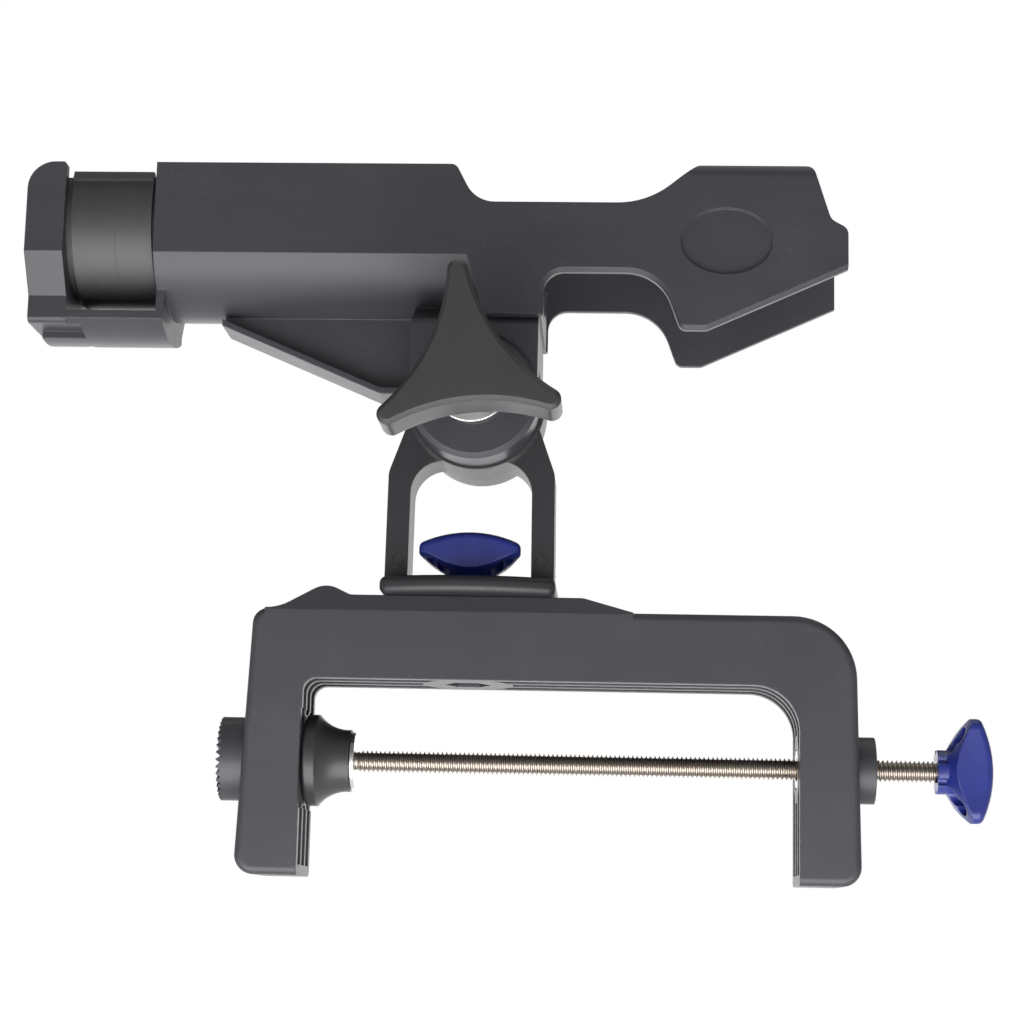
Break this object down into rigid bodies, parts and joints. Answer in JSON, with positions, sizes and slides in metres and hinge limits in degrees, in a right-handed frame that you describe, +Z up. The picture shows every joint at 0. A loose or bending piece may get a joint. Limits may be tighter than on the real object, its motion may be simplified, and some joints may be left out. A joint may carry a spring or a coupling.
{
  "type": "rod holder",
  "caption": "Clamp-on fishing rod holder: C-clamp with screw, swivelling yoke, tilting trough-and-hood cradle with a rotating lock ring and a three-armed tilt handle.",
  "frame": {"origin": "centre of the side bolt hole's mouth, in the plane the side face teeth stand on", "axes": "+X along the clamp screw from the fixed jaw to the knob, +Y across the width to the back, +Z up from the screw to the rod cradle"},
  "size_m": [0.2808, 0.0867, 0.2058],
  "materials": {
    "frame_plastic": "satin moulded",
    "yoke_plastic": "satin moulded",
    "cradle_plastic": "satin moulded",
    "ring_plastic": "semi-gloss, fine turned lines",
    "handle_plastic": "satin",
    "pad_plastic": "satin",
    "blue_plastic": "satin gloss",
    "screw_steel": "bright zinc plate",
    "washer_steel": "bright",
    "zinc": "zinc plate",
    "brass": "turned"
  },
  "bodies": {
    "clamp": {"clamp_frame": "frame_plastic", "clamp_nut": "zinc", "swivel_bolt": "zinc"},
    "pad": {"pressure_pad": "pad_plastic", "pad_washer": "washer_steel"},
    "screw": {"clamp_screw": "screw_steel", "clamp_knob": "blue_plastic", "screw_clip": "zinc"},
    "yoke": {"yoke": "yoke_plastic"},
    "swivel_lift": {"swivel_washer": "washer_steel"},
    "swivel_knob": {"swivel_knob": "blue_plastic", "swivel_insert": "brass"},
    "cradle": {"cradle": "cradle_plastic", "tilt_bolt": "zinc"},
    "tilt_lift": {"tilt_washer": "washer_steel"},
    "handle": {"tilt_handle": "handle_plastic", "tilt_insert": "brass"},
    "ring": {"lock_ring": "ring_plastic"}
  },
  "joints": [
    {"name": "pad_travel", "type": "slide", "parent": "clamp", "child": "pad", "axis": [1, 0, 0], "range_m": [0, 0.12]},
    {"name": "screw_turn", "type": "hinge", "parent": "pad", "child": "screw", "pos_m": [0.023, 0, 0], "axis": [1, 0, 0], "range_deg": [0, 34016]},
    {"name": "swivel", "type": "hinge", "parent": "clamp", "child": "yoke", "pos_m": [0.0691, 0, 0.05], "axis": [0, 0, 1], "continuous": true},
    {"name": "swivel_knob_rise", "type": "slide", "parent": "clamp", "child": "swivel_lift", "axis": [0, 0, 1], "range_m": [0, 0.00254]},
    {"name": "swivel_knob_turn", "type": "hinge", "parent": "swivel_lift", "child": "swivel_knob", "pos_m": [0.0691, 0, 0.06], "axis": [0, 0, 1], "range_deg": [0, 720]},
    {"name": "tilt", "type": "hinge", "parent": "yoke", "child": "cradle", "pos_m": [0.0702, 0, 0.1037], "axis": [0, 1, 0], "range_deg": [-22, 48]},
    {"name": "tilt_handle_back_off", "type": "slide", "parent": "cradle", "child": "tilt_lift", "axis": [0, -1, 0], "range_m": [0, 0.00282]},
    {"name": "tilt_handle_turn", "type": "hinge", "parent": "tilt_lift", "child": "handle", "pos_m": [0.0702, -0.05, 0.1037], "axis": [0, -1, 0], "range_deg": [0, 720]},
    {"name": "ring_turn", "type": "hinge", "parent": "cradle", "child": "ring", "pos_m": [-0.0368, 0, 0.1575], "axis": [1, 0, 0], "range_deg": [0, 180]}
  ],
  "couplings": [
    {"joint": "screw_turn", "follows": "pad_travel", "rad_per_m": 4947.4},
    {"joint": "swivel_knob_rise", "follows": "swivel_knob_turn", "m_per_rad": 0.00020213},
    {"joint": "tilt_handle_back_off", "follows": "tilt_handle_turn", "m_per_rad": 0.00022441}
  ]
}
